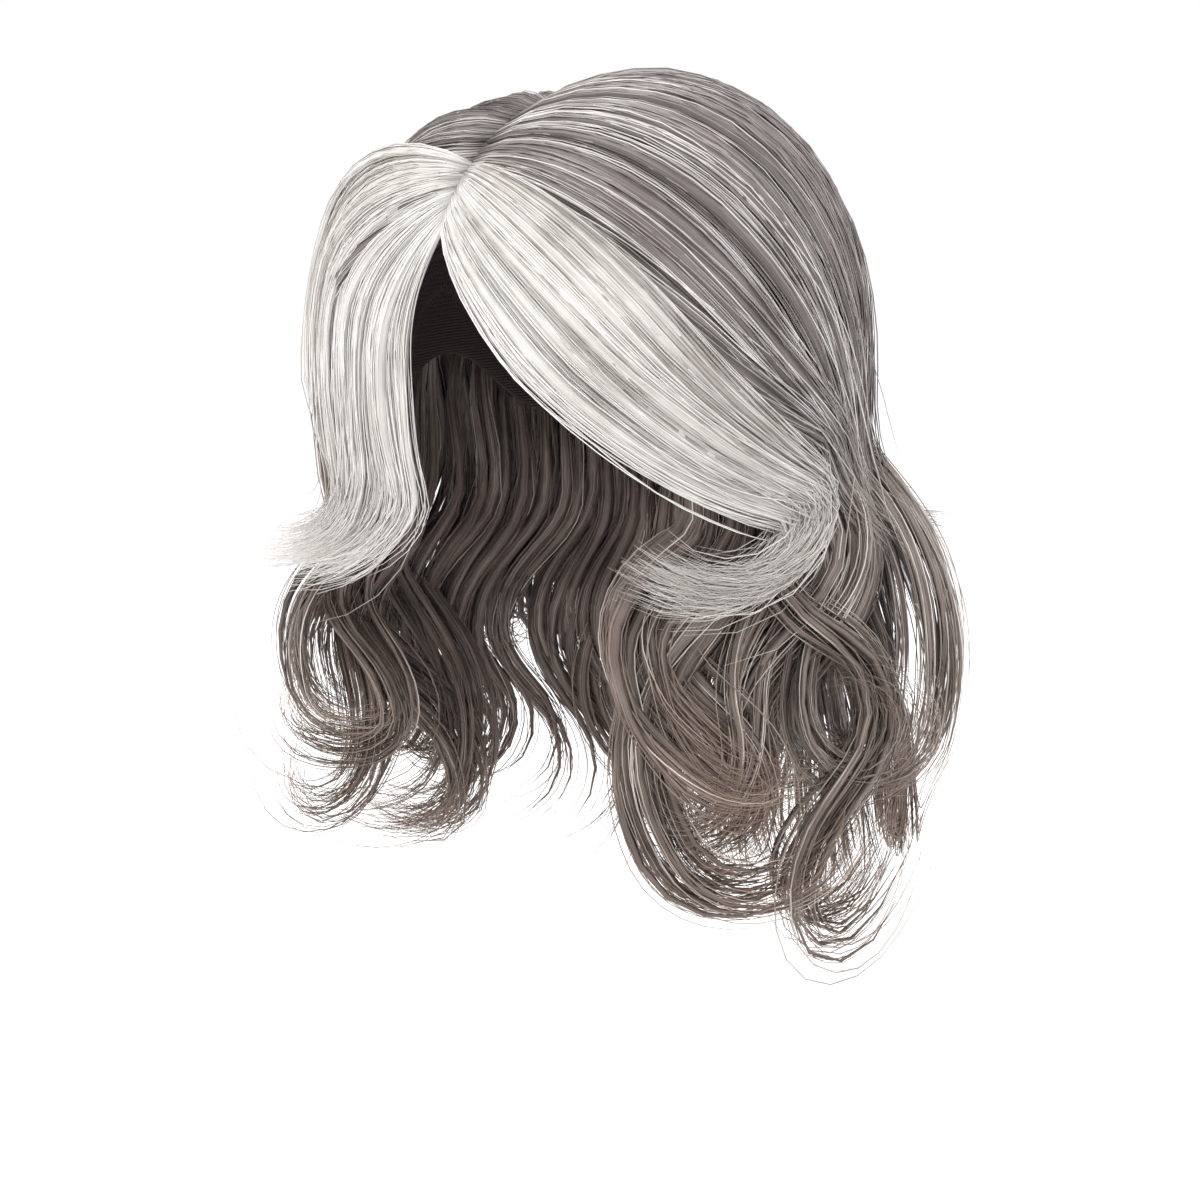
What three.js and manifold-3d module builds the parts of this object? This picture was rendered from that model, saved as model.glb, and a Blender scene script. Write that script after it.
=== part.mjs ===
// Long layered curly wig, worn form, as it sits on a head.
// Millimetres, +Z up. The wearer looks along -Y and the wearer's left is +X.
// The origin is where the crown of the head meets the inside of the cap.
import * as THREE from "three";
import Module from "manifold-3d";

const wasm = await Module();
wasm.setup();

// Hollow of the cap: half width, half length and height of its dome.
const HALF_WIDTH = 77;
const HALF_LENGTH = 98;
const DOME_HEIGHT = 88;
// The net cap and the folded hem at its edge.
const CAP_WALL = 1.4;
const HEM_WALL = 2.4;
const HEM_SPAN = 12;
const HEM_DEGREES = (HEM_SPAN / DOME_HEIGHT) * (180 / Math.PI);
// Hair: how far it stands off the head, the longest hanging length, and the width
// and thickness of a lock.
const HAIR_DEPTH = 28;
const HAIR_LENGTH = 270;
const LOCK_WIDTH = 30;
const LOCK_THICK = 9;
const BACKING_WALL = 3.2;
// Clearance between neighbouring pieces.
const CLEARANCE = 0.35;
// Facets of the hair that lie within this of one surface are merged.
const MERGE_WITHIN = 0.85;

// The parting runs from the hairline to the crown, a little to the wearer's right.
const PARTING_X = -0.16 * HALF_WIDTH;
const PARTING_FRONT = -0.82 * HALF_LENGTH;
const PARTING_BACK = 0.16 * HALF_LENGTH;
// The hanging hair stays clear of the neck at this share of the head's half width.
const NECK_SHARE = 0.98;

const HEAD_STEPS = 9;
const HANG_STEPS = 24;
const LOCK_SIDES = 4;
const DOME_COLUMNS = 24;
const DOME_ROWS = 5;

// Where the edge of the cap runs: around from the front, and its height in degrees.
const EDGE = [
  { place: "forehead", around: 0, rise: 35 },
  { place: "temple", around: 45, rise: 9 },
  { place: "ear tab", around: 72, rise: -18 },
  { place: "ear", around: 96, rise: -5 },
  { place: "behind the ear", around: 126, rise: -30 },
  { place: "nape", around: 180, rise: -42 },
];

// Fans of locks. A list holds the values of its locks from the first to the last, at even
// shares of the way, and those of a fan marked as_given hang just as its lists say.
//   along: root on the parting, or around and up: root on a weft, in degrees
//   leave, rise: where the lock leaves the head, in degrees, and sag: how far it
//   bows off the straight way there
//   lift: share of the hair depth, hang: share of the hair length
//   swing, waves, phase, plane: the wave, and flare, drift: the way it hangs
//   hook, from, turn: the curl at the end, where it starts and its plane
//   wide, thick: shares of the lock's width and thickness
const FANS = [
  {
    group: "nape_curls", side: 1, count: 3, around: [132, 172], up: [-11, -16],
    leave: [132, 172], rise: [-37, -40], sag: [0, 0], lift: [0.31, 0.3], hang: [0.86, 0.84],
    swing: [48, 34], waves: [1.27, 1.2], phase: [180, 160], plane: [17, 20],
    flare: [44, 26], drift: [-3, 8], hook: [-170, -120], from: [0.61, 0.6], turn: [13, 20],
    wide: [1.25, 1.25], thick: [1.35, 1.3],
  },
  {
    group: "side_curls_left", side: 1, count: 4, as_given: true,
    around: [66, 70, 78, 90], up: [4, 4, 4, 4],
    leave: [77, 66, 76, 87], rise: [-27, -29, -23, -19], sag: [1, 3.4, 3.6, 4],
    lift: [0.36, 0.47, 0.41, 0.3], hang: [0.77, 0.66, 1, 0.79], swing: [62, 38, 42, 32],
    waves: [1.19, 1.62, 1.01, 1.43], phase: [183, 127, 183, 82], plane: [16, 10, 32, 45],
    flare: [3, 11, 23, 30], drift: [-17, -22, -10, -12], hook: [-66, 198, 185, -136],
    from: [0.79, 0.57, 0.66, 0.59], turn: [-47, 32, 4, 22],
    wide: [1.2, 1.2], thick: [1.4, 1.4],
  },
  {
    group: "side_curls_right", side: -1, count: 4, as_given: true,
    around: [66, 76, 80, 98], up: [4, 4, 4, 0],
    leave: [69, 71, 88, 74], rise: [-41, -41, -41, -42], sag: [0.8, -1.3, -2, 13],
    lift: [1.1, 0.76, 1.09, 0.31], hang: [0.82, 0.69, 0.74, 0.68], swing: [44, 56, 47, 29],
    waves: [1.14, 1.59, 0.76, 1.68], phase: [92, 33, 192, -15], plane: [110, 54, 110, 68],
    flare: [7, 8, 24, 27], drift: [15, 8, -2, -9], hook: [123, -222, 80, -228],
    from: [0.75, 0.58, 0.68, 0.72], turn: [120, -39, 120, -32],
    wide: [1.2, 1.2], thick: [1.4, 1.4],
  },
  {
    group: "nape_curls", side: -1, count: 3, around: [112, 174], up: [-8, -16],
    leave: [112, 174], rise: [-36, -40], sag: [0, 0], lift: [0.32, 0.3], hang: [0.84, 0.84],
    swing: [50, 26], waves: [1.3, 1.2], phase: [190, 160], plane: [15, 20],
    flare: [32, 26], drift: [-4, 3], hook: [-170, 110], from: [0.62, 0.6], turn: [10, 20],
    wide: [1.25, 1.25], thick: [1.35, 1.3],
  },
  {
    group: "middle_waves_left", side: 1, count: 2, around: [140, 172], up: [11, 9],
    leave: [142, 172], rise: [-24, -24], sag: [0, 0], lift: [0.67, 0.68], hang: [0.68, 0.68],
    swing: [50, 46], waves: [1.12, 1.1], phase: [178, 170], plane: [25, 30],
    flare: [42, 34], drift: [0, 0], hook: [-150, 110], from: [0.56, 0.55], turn: [30, 50],
    wide: [1.4, 1.4], thick: [1.2, 1.2],
  },
  {
    group: "middle_waves_right", side: -1, count: 4, around: [96, 172], up: [16, 9],
    leave: [102, 172], rise: [-24, -24], sag: [0, 0], lift: [0.66, 0.68], hang: [0.64, 0.68],
    swing: [52, 46], waves: [1.1, 1.1], phase: [60, 170], plane: [30, 30],
    flare: [42, 34], drift: [0, 0], hook: [150, 110], from: [0.55, 0.55], turn: [60, 50],
    wide: [1.4, 1.4], thick: [1.2, 1.2],
  },
  {
    group: "crown_hair", side: 1, count: 5, along: [0.15, 1.0],
    leave: [95, 140], rise: [-22, -20], sag: [3, -8], lift: [0.98, 1.02], hang: [0.24, 0.3],
    swing: [10, 20], waves: [0.6, 0.6], phase: [0, 0], plane: [40, 60],
    flare: [10, 12], drift: [6, 0], hook: [50, 90], from: [0.4, 0.4], turn: [70, 85],
    wide: [1.2, 1.35], thick: [0.9, 0.95],
  },
  {
    group: "crown_hair", side: 1, count: 2, along: [1.02, 1.12],
    leave: [152, 178], rise: [-22, -22], sag: [0, 0], lift: [1.02, 1.02], hang: [0.34, 0.36],
    swing: [20, 25], waves: [0.7, 0.7], phase: [0, 20], plane: [60, 60],
    flare: [12, 10], drift: [0, 0], hook: [75, 60], from: [0.5, 0.45], turn: [80, 70],
    wide: [1.5, 1.5], thick: [0.95, 0.95],
  },
  {
    group: "crown_hair", side: -1, count: 2, along: [1.12, 1.02],
    leave: [174, 152], rise: [-22, -22], sag: [0, 0], lift: [1.02, 1.02], hang: [0.36, 0.34],
    swing: [25, 20], waves: [0.7, 0.7], phase: [20, 0], plane: [60, 60],
    flare: [10, 12], drift: [0, 0], hook: [60, 75], from: [0.45, 0.5], turn: [70, 80],
    wide: [1.5, 1.5], thick: [0.95, 0.95],
  },
  {
    group: "crown_hair", side: -1, count: 4, along: [1.0, 0.18],
    leave: [140, 86], rise: [-20, -22], sag: [-8, 0], lift: [1.02, 0.96], hang: [0.3, 0.26],
    swing: [20, 10], waves: [0.6, 0.6], phase: [0, 0], plane: [60, 40],
    flare: [12, 10], drift: [0, 2], hook: [90, 90], from: [0.45, 0.4], turn: [85, 85],
    wide: [1.4, 1.1], thick: [0.95, 0.9],
  },
  {
    group: "front_lock_left", side: 1, count: 3, as_given: true, along: [0.15, 0.04],
    leave: [84, 76], rise: [-30, -37], sag: [2, 3.5], lift: [1.26, 1.2], hang: [0.4, 0.36],
    swing: [0, 0], waves: [0.6, 0.6], phase: [0, 0], plane: [0, 0],
    flare: [6, 4], drift: [-4, -6], hook: [-126, -124], from: [-0.1, -0.1], turn: [5, 8],
    wide: [1.1, 1.0], thick: [0.85, 0.85],
  },
  {
    group: "front_lock_right", side: -1, count: 3, as_given: true, along: [0.14, 0.03],
    leave: [57, 24], rise: [-14, -32], sag: [-14, -6.5], lift: [1.05, 0.47], hang: [0.35, 0.22],
    swing: [0, 0], waves: [0.6, 0.6], phase: [0, 0], plane: [0, 0],
    flare: [-30, 10], drift: [26, 14], hook: [109, 91], from: [0.38, 0.18], turn: [100, 59],
    wide: [1.1, 1.0], thick: [0.85, 0.85],
  },
  {
    group: "middle_waves_left", side: 1, count: 3, as_given: true,
    around: [96, 104, 112], up: [10, 4, 14],
    leave: [91, 96, 116], rise: [-18, -19, -19], sag: [13, -6, 13], lift: [0.2, 0.22, 0.4],
    hang: [0.71, 0.88, 0.76], swing: [41, 76, 20], waves: [0.98, 0.92, 0.83],
    phase: [77, 85, 199], plane: [54, 17, -25], flare: [41, 19, 46], drift: [-15, 14, -14],
    hook: [93, 229, -122], from: [0.7, 0.4, 0.76], turn: [59, 33, 31],
    wide: [1.2, 1.2], thick: [1.2, 1.2],
  },
  {
    group: "middle_waves_right", side: -1, count: 1, as_given: true, around: [92], up: [8],
    leave: [82], rise: [-37], sag: [-1], lift: [0.42], hang: [0.57],
    swing: [20], waves: [1.66], phase: [30], plane: [-52],
    flare: [54], drift: [-20], hook: [131], from: [0.71], turn: [-90],
    wide: [1.2], thick: [1.2],
  },
  {
    group: "nape_curls", side: 1, count: 1, as_given: true, around: [112], up: [-8],
    leave: [93], rise: [-34], sag: [0], lift: [0.4], hang: [1.08],
    swing: [53], waves: [1.68], phase: [-60], plane: [19],
    flare: [28], drift: [-2], hook: [202], from: [0.7], turn: [1],
    wide: [1.2], thick: [1.3],
  },
];

// How much each value may differ from lock to lock, so that no two hang alike.
const UNLIKE = {
  leave: 2, rise: 1.5, lift: 0.03, hang: 0.04, swing: 6, phase: 20,
  plane: 8, flare: 3, drift: 3, hook: 20, from: 0.04,
};

// Bands of backing that the lower fans are sewn to: the span around the head, the top
// and the foot of the band in degrees.
const BACKINGS = [
  { group: "nape_curls", start: 108, end: 252, top: -6, foot: -22 },
  { group: "side_curls_left", start: 64, end: 103, top: 8, foot: -5 },
  { group: "side_curls_right", start: -103, end: -64, top: 8, foot: -5 },
  { group: "middle_waves_left", start: 76, end: 178.5, top: 22, foot: 6 },
  { group: "middle_waves_right", start: -178.5, end: -76, top: 22, foot: 6 },
];
// The crown's backing covers this many of the rows of the cap.
const CROWN_BACKING_ROWS = 3;

const COLOURS = {
  wig_cap: "#2b2523",
  crown_hair: "#8f8581",
  front_lock_left: "#dcd6d0",
  front_lock_right: "#dcd6d0",
  middle_waves_left: "#7a6c66",
  middle_waves_right: "#7a6c66",
  side_curls_left: "#5b4b45",
  side_curls_right: "#5b4b45",
  nape_curls: "#53443e",
};

const UP = new THREE.Vector3(0, 0, 1);
const toRadians = THREE.MathUtils.degToRad;
const { clamp, lerp } = THREE.MathUtils;

// A repeatable number from -1 to 1 for value k of lock i.
function chance(i, k) {
  const v = Math.sin(12.9898 * (i + 1) + 78.233 * (k + 1)) * 43758.5453;
  return 2 * (v - Math.floor(v)) - 1;
}

// The value at a share of the way along a list.
function atShare(values, share) {
  const place = share * (values.length - 1);
  const low = Math.floor(place);
  return lerp(values[low], values[Math.min(low + 1, values.length - 1)], place - low);
}

// The locks of all fans, each with its own value in every column.
function locksOf(fans) {
  const locks = [];
  fans.forEach((fan, f) => {
    for (let i = 0; i < fan.count; i++) {
      const share = i / Math.max(fan.count - 1, 1);
      const lock = { group: fan.group, side: fan.side };
      for (const [column, value] of Object.entries(fan))
        if (Array.isArray(value)) lock[column] = atShare(value, share);
      if (!fan.as_given)
        Object.keys(UNLIKE).forEach((column, k) => {
          lock[column] += UNLIKE[column] * chance(i + 31 * f, k);
        });
      locks.push(lock);
    }
  });
  return locks;
}

// The unit direction at an angle around from the front, and up from the head's middle.
function direction(around, rise) {
  const a = toRadians(around);
  const r = toRadians(rise);
  return new THREE.Vector3(Math.sin(a) * Math.cos(r), -Math.cos(a) * Math.cos(r), Math.sin(r));
}

// The point over the head in a direction, lifted off the hollow. Below the middle the
// head goes down almost straight.
function overHead(d, lift) {
  const level = Math.max(Math.hypot(d.x, d.y), 0.05);
  const below = d.z < 0;
  const wide = below ? level ** -0.75 : 1;
  const lean = below ? 0.25 : 1;
  const outward = new THREE.Vector3(
    d.x / HALF_WIDTH, d.y / HALF_LENGTH, (lean * d.z) / DOME_HEIGHT,
  ).normalize();
  return new THREE.Vector3(
    d.x * HALF_WIDTH * wide, d.y * HALF_LENGTH * wide, (d.z - 1) * DOME_HEIGHT,
  ).addScaledVector(outward, lift);
}

// The way from one direction to another along a great circle.
function between(a, b, t) {
  const angle = a.angleTo(b);
  return a.clone().multiplyScalar(Math.sin((1 - t) * angle) / Math.sin(angle))
    .addScaledVector(b, Math.sin(t * angle) / Math.sin(angle));
}

// The part of a across the unit vector b, as a unit vector.
function across(a, b) {
  return a.clone().addScaledVector(b, -a.dot(b)).normalize();
}

// The middle line of a lock: over the head, then hanging in waves to its curl.
function middleLine(lock) {
  const { side } = lock;
  const points = [];
  const rootLift = CAP_WALL + CLEARANCE + 0.16 * LOCK_THICK;
  let first;
  if (lock.along === undefined) first = direction(side * lock.around, lock.up);
  else {
    const x = (PARTING_X + 0.026 * HALF_WIDTH * side) / HALF_WIDTH;
    const y = lerp(PARTING_FRONT, PARTING_BACK, lock.along) / HALF_LENGTH;
    first = new THREE.Vector3(x, y, Math.sqrt(1 - x * x - y * y));
  }
  const last = direction(side * lock.leave, lock.rise);
  const sideways = first.clone().cross(last).normalize().multiplyScalar(side);
  for (let i = 0; i < HEAD_STEPS; i++) {
    const t = i / (HEAD_STEPS - 1);
    const bow = Math.sin(Math.PI * t) * toRadians(lock.sag);
    const d = between(first, last, t).addScaledVector(sideways, -bow).normalize();
    const rising = Math.sin((Math.min(1.8 * t, 1) * Math.PI) / 2);
    points.push(overHead(d, lerp(rootLift, HAIR_DEPTH * lock.lift, rising)));
  }
  const start = points.at(-1).clone().sub(points.at(-2)).normalize();
  const step = (lock.hang * HAIR_LENGTH) / HANG_STEPS;
  const at = points.at(-1).clone();
  for (let i = 0; i < HANG_STEPS; i++) {
    const q = (i + 0.5) / HANG_STEPS;
    const out = new THREE.Vector3(at.x, at.y, 0).normalize();
    const back = new THREE.Vector3(-out.y, out.x, 0).multiplyScalar(side);
    const flare = toRadians(lock.flare) * (1 - 1.4 * q);
    const down = UP.clone().multiplyScalar(-Math.cos(flare))
      .addScaledVector(out, Math.sin(flare))
      .addScaledVector(back, Math.tan(toRadians(lock.drift)))
      .normalize();
    const inPlane = (angle) =>
      across(back.clone().multiplyScalar(Math.cos(toRadians(angle)))
        .addScaledVector(out, Math.sin(toRadians(angle))), down);
    const cycle = 2 * Math.PI * lock.waves * q + toRadians(lock.phase);
    const swing = toRadians(lock.swing) * Math.sin(cycle) * Math.min(q / 0.25, 1);
    const heading = down.clone().multiplyScalar(Math.cos(swing))
      .addScaledVector(inPlane(lock.plane), Math.sin(swing));
    const curled = clamp((q - lock.from) / Math.max(1 - lock.from, 0.05), 0, 1);
    const axis = down.clone().cross(inPlane(lock.turn));
    heading.applyAxisAngle(axis, toRadians(lock.hook) * curled);
    const let_go = THREE.MathUtils.smoothstep(q, 0, 0.2);
    heading.multiplyScalar(let_go).addScaledVector(start, 1 - let_go).normalize();
    // Hair that nears the neck turns and runs down beside it.
    const low = clamp((-at.z / DOME_HEIGHT - 1.9) / 0.7, 0, 1);
    const nearest = HALF_WIDTH * (NECK_SHARE - 0.2 * low);
    const inward = Math.min(heading.dot(out), 0);
    const room = THREE.MathUtils.smoothstep(
      Math.hypot(at.x, at.y), nearest, nearest + 0.24 * HALF_WIDTH,
    );
    heading.addScaledVector(out, -inward * (1 - room)).normalize();
    at.addScaledVector(heading, step);
    points.push(at.clone());
  }
  return points;
}

// How wide a lock is at a share of its length: narrow at the root, full, then a tip.
function fullness(u) {
  const root = Math.max(Math.sin((Math.min(u / 0.4, 1) * Math.PI) / 2), 0.2);
  return root * clamp((1 - u) / 0.34, 0.04, 1) ** 0.6;
}

// A closed solid of rings of points, with a flat fan at each end.
function loft(rings, closed = false) {
  const n = rings[0].length;
  const corners = rings.flat().flatMap((p) => [p.x, p.y, p.z]);
  const faces = [];
  const last = closed ? rings.length : rings.length - 1;
  for (let i = 0; i < last; i++)
    for (let j = 0; j < n; j++) {
      const a = i * n + j;
      const b = i * n + ((j + 1) % n);
      const c = ((i + 1) % rings.length) * n + ((j + 1) % n);
      const d = ((i + 1) % rings.length) * n + j;
      faces.push(a, b, c, a, c, d);
    }
  if (!closed)
    for (let j = 1; j < n - 1; j++) {
      const end = (rings.length - 1) * n;
      faces.push(0, j + 1, j, end, end + j, end + j + 1);
    }
  return solid(corners, faces);
}

// A manifold solid of corners and faces, turned right side out.
function solid(corners, faces) {
  const make = (triangles) => new wasm.Manifold(new wasm.Mesh({
    numProp: 3,
    vertProperties: new Float32Array(corners),
    triVerts: new Uint32Array(triangles),
  }));
  const made = make(faces);
  if (made.volume() > 0) return made;
  for (let i = 0; i < faces.length; i += 3)
    [faces[i + 1], faces[i + 2]] = [faces[i + 2], faces[i + 1]];
  return make(faces);
}

// The flattened, tapering solid of one lock, grown all round by a clearance. It is no
// wider than its bend has room for.
function lockSolid(lock, grown = 0) {
  const line = middleLine(lock);
  const kept = line.filter((_, i) =>
    i === line.length - 1 ||
    (i < HEAD_STEPS ? i % 2 === 0 : (i - HEAD_STEPS) % 3 === 2));
  const lengths = [0];
  for (let i = 1; i < kept.length; i++)
    lengths.push(lengths[i - 1] + kept[i].distanceTo(kept[i - 1]));
  const tangents = kept.map((_, i) =>
    kept[Math.min(i + 1, kept.length - 1)].clone().sub(kept[Math.max(i - 1, 0)]).normalize());
  const head = new THREE.Vector3(0, 0, -DOME_HEIGHT);
  let outward = across(kept[0].clone().sub(head), tangents[0]);
  const rings = kept.map((p, i) => {
    outward = across(outward, tangents[i]);
    const sideways = tangents[i].clone().cross(outward);
    const before = p.clone().sub(kept[Math.max(i - 1, 0)]);
    const after = kept[Math.min(i + 1, kept.length - 1)].clone().sub(p);
    const step = Math.min(before.length() || Infinity, after.length() || Infinity);
    const bend = after.normalize().sub(before.normalize()).divideScalar(step);
    if (i === 0 || i === kept.length - 1) bend.set(0, 0, 0);
    const full = fullness(lengths[i] / lengths.at(-1));
    const room = (way) => 0.7 / Math.max(Math.abs(bend.dot(way)), 1e-6);
    const wide = Math.min((full * LOCK_WIDTH * lock.wide) / 2, room(sideways)) + grown;
    const deep = Math.min((full ** 0.7 * LOCK_THICK * lock.thick) / 2, room(outward)) + grown;
    const past = i === 0 ? -2 * grown : i === kept.length - 1 ? 2 * grown : 0;
    const middle = p.clone().addScaledVector(tangents[i], past);
    return Array.from({ length: LOCK_SIDES }, (_, k) => {
      const angle = (2 * Math.PI * k) / LOCK_SIDES;
      return middle.clone().addScaledVector(sideways, wide * Math.cos(angle))
        .addScaledVector(outward, deep * Math.sin(angle));
    });
  });
  return loft(rings);
}

// The height of the cap's edge at an angle around the head.
function edgeRise(around) {
  const a = Math.abs(around > 180 ? around - 360 : around);
  const i = Math.max(EDGE.findIndex((e) => e.around >= a), 1);
  const t = (a - EDGE[i - 1].around) / (EDGE[i].around - EDGE[i - 1].around);
  return lerp(EDGE[i - 1].rise, EDGE[i].rise, THREE.MathUtils.smoothstep(t, 0, 1));
}

// A dome over the head from the crown to a foot. The last step of its wall may be a hem
// of another thickness, and one more step may go on past the foot.
function dome({ inner, outer, hem = 0, past = 0, rows = DOME_ROWS }) {
  const columns = DOME_COLUMNS;
  const steps = Array.from({ length: rows }, (_, i) => ({
    rise: (low) => lerp(90, low + HEM_DEGREES, (i + 1) / DOME_ROWS),
    outer,
  }));
  if (hem) steps.at(-1).outer = hem;
  if (hem) steps.push({ rise: (low) => low, outer: hem });
  const { rise: lastRise, outer: lastOuter } = steps.at(-1);
  if (past) steps.push({ rise: (low) => lastRise(low) - past, outer: lastOuter });
  const n = steps.length;
  const corners = [0, 0, inner, 0, 0, outer];
  const faces = [];
  const ring = (j, layer, i) => 2 + (j % columns) * 2 * n + layer * n + i;
  for (let j = 0; j < columns; j++) {
    const around = (360 * j) / columns;
    for (const layer of [0, 1])
      for (const step of steps) {
        const d = direction(around, step.rise(edgeRise(around)));
        const p = overHead(d, layer ? step.outer : inner);
        corners.push(p.x, p.y, p.z);
      }
    for (const layer of [0, 1]) {
      const turn = (a, b, c) => (layer ? faces.push(a, b, c) : faces.push(a, c, b));
      turn(layer, ring(j, layer, 0), ring(j + 1, layer, 0));
      for (let i = 0; i < n - 1; i++) {
        turn(ring(j, layer, i), ring(j, layer, i + 1), ring(j + 1, layer, i + 1));
        turn(ring(j, layer, i), ring(j + 1, layer, i + 1), ring(j + 1, layer, i));
      }
    }
    const [a, b] = [ring(j, 0, n - 1), ring(j + 1, 0, n - 1)];
    const [c, d] = [ring(j + 1, 1, n - 1), ring(j, 1, n - 1)];
    faces.push(a, b, c, a, c, d);
  }
  return solid(corners, faces);
}

// A curved band of backing on the head.
function band({ start, end, top, foot }, grown = 0) {
  const steps = Math.ceil((end - start) / 10);
  const past = THREE.MathUtils.radToDeg(grown / DOME_HEIGHT);
  const inner = CAP_WALL + CLEARANCE - grown;
  const outer = CAP_WALL + CLEARANCE + BACKING_WALL + grown;
  const rings = Array.from({ length: steps + 1 }, (_, i) => {
    const around = lerp(start - past, end + past, i / steps);
    const corner = (rise, lift) => overHead(direction(around, rise), lift);
    return [
      corner(foot - past, inner), corner(top + past, inner),
      corner(top + past, outer), corner(foot - past, outer),
    ];
  });
  return loft(rings);
}

const cap = dome({ inner: 0, outer: CAP_WALL, hem: HEM_WALL });
// What the hair stays out of: the hollow, the cap and a clearance round it.
const keepOut = dome({
  inner: -2 * CAP_WALL, outer: CAP_WALL + CLEARANCE, hem: HEM_WALL + CLEARANCE, past: 5,
});

const locks = locksOf(FANS);

// One group of locks fused to its backing, grown by a clearance.
function groupSolid(group, grown) {
  const bodies = locks.filter((l) => l.group === group).map((l) => lockSolid(l, grown));
  for (const b of BACKINGS) if (b.group === group) bodies.push(band(b, grown));
  if (group === "crown_hair")
    bodies.push(dome({
      inner: CAP_WALL + CLEARANCE, outer: CAP_WALL + CLEARANCE + BACKING_WALL + grown,
      rows: CROWN_BACKING_ROWS, past: grown > 0 ? 1 : 0,
    }));
  return wasm.Manifold.union(bodies);
}

// Groups from the outermost in: each gives way to those before it.
const ORDER = [
  "front_lock_left", "front_lock_right", "crown_hair", "middle_waves_left",
  "middle_waves_right", "side_curls_left", "side_curls_right", "nape_curls",
];
const wig = new THREE.Group();
wig.name = "wig";

// A named mesh of a solid, flat shaded, in the colour of its piece.
function addMesh(name, body, roughness) {
  const { vertProperties, triVerts, numProp } = body.getMesh();
  const geometry = new THREE.BufferGeometry();
  const positions = new Float32Array((vertProperties.length / numProp) * 3);
  for (let i = 0; i < positions.length / 3; i++)
    for (let k = 0; k < 3; k++) positions[3 * i + k] = vertProperties[numProp * i + k];
  geometry.setAttribute("position", new THREE.BufferAttribute(positions, 3));
  geometry.setIndex(new THREE.BufferAttribute(new Uint32Array(triVerts), 1));
  const colour = COLOURS[name];
  const material = new THREE.MeshStandardMaterial({ color: colour, roughness, metalness: 0 });
  const mesh = new THREE.Mesh(geometry, material);
  mesh.name = name;
  wig.add(mesh);
}

addMesh("wig_cap", cap, 0.9);

let taken = keepOut;
const finished = [];
for (const group of ORDER) {
  let whole = groupSolid(group, 0).simplify(MERGE_WITHIN).subtract(taken);
  for (const other of finished)
    if (whole.intersect(other.body).volume() > 0)
      whole = whole.subtract(groupSolid(other.group, 5 * CLEARANCE)).subtract(other.body);
  const bodies = whole.simplify(0.1).decompose();
  const body = bodies.sort((a, b) => b.volume() - a.volume())[0];
  addMesh(group, body, 0.55);
  taken = taken.add(groupSolid(group, CLEARANCE + MERGE_WITHIN));
  finished.push({ group, body });
}

export default wig;
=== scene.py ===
import math

import bpy
import numpy as np
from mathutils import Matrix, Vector


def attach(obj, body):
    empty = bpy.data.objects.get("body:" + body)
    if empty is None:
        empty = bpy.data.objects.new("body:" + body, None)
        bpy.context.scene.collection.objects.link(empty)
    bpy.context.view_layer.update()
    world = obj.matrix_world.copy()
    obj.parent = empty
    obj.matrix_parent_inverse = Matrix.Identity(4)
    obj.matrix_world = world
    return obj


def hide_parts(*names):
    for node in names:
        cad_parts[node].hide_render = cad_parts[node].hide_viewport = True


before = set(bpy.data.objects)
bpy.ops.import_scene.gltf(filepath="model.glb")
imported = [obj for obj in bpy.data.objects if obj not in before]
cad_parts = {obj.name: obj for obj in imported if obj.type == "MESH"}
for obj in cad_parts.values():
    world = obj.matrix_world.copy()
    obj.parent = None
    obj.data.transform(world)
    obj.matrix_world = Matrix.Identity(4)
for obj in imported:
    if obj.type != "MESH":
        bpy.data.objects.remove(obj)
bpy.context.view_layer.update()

# Camera: it stands off the wearer's left front, a little above the shoulders, and looks at
# the middle of the hair.
HAIR_MIDDLE = Vector((0.006, -0.005, -0.196))
VIEW_AROUND, VIEW_ABOVE = math.radians(31), math.radians(11)
VIEW_AWAY, VIEW_WIDE, FILM_WIDE = 1.28, 0.49, 36
view_from = Vector((
    math.sin(VIEW_AROUND) * math.cos(VIEW_ABOVE),
    -math.cos(VIEW_AROUND) * math.cos(VIEW_ABOVE),
    math.sin(VIEW_ABOVE),
))
bpy.ops.object.camera_add(location=HAIR_MIDDLE + VIEW_AWAY * view_from)
camera = bpy.context.object
camera.rotation_euler = (-view_from).to_track_quat("-Z", "Y").to_euler()
camera.data.sensor_width = FILM_WIDE
camera.data.lens = FILM_WIDE * VIEW_AWAY / VIEW_WIDE
bpy.context.scene.camera = camera

# Cap: a stretch net dome with a folded hem, open at the face. The hair is sewn to it in
# rows, and its edge dips in front of and behind each ear.
HALF_WIDTH, HALF_LENGTH, DOME_HEIGHT = 0.077, 0.098, 0.088
# How high its edge runs, at angles around from the front, and how high the hem reaches
# above it, all in degrees.
EDGE_AROUND = (0, 45, 72, 96, 126, 180)
EDGE_RISE = (35, 9, -18, -5, -30, -42)
HEM_DEGREES = 7.8


def smooth(value, low, high):
    """0 below low, 1 above high, and a soft step between."""
    t = np.clip((value - low) / (high - low), 0, 1)
    return t * t * (3 - 2 * t)


def edge_rise(around):
    """How high the cap's edge runs at angles around the head."""
    a = np.abs((np.asarray(around) + 180) % 360 - 180)
    i = np.clip(np.searchsorted(EDGE_AROUND, a), 1, len(EDGE_AROUND) - 1)
    low, high = np.take(EDGE_AROUND, i - 1), np.take(EDGE_AROUND, i)
    t = smooth(a, low, high)
    return np.take(EDGE_RISE, i - 1) * (1 - t) + np.take(EDGE_RISE, i) * t


def colour(red, green, blue):
    """A colour given in the 0 to 255 of a screen, as the shader takes it."""
    value = np.array([red, green, blue]) / 255
    return (*np.where(value < 0.04045, value / 12.92, ((value + 0.055) / 1.055) ** 2.4), 1)


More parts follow.
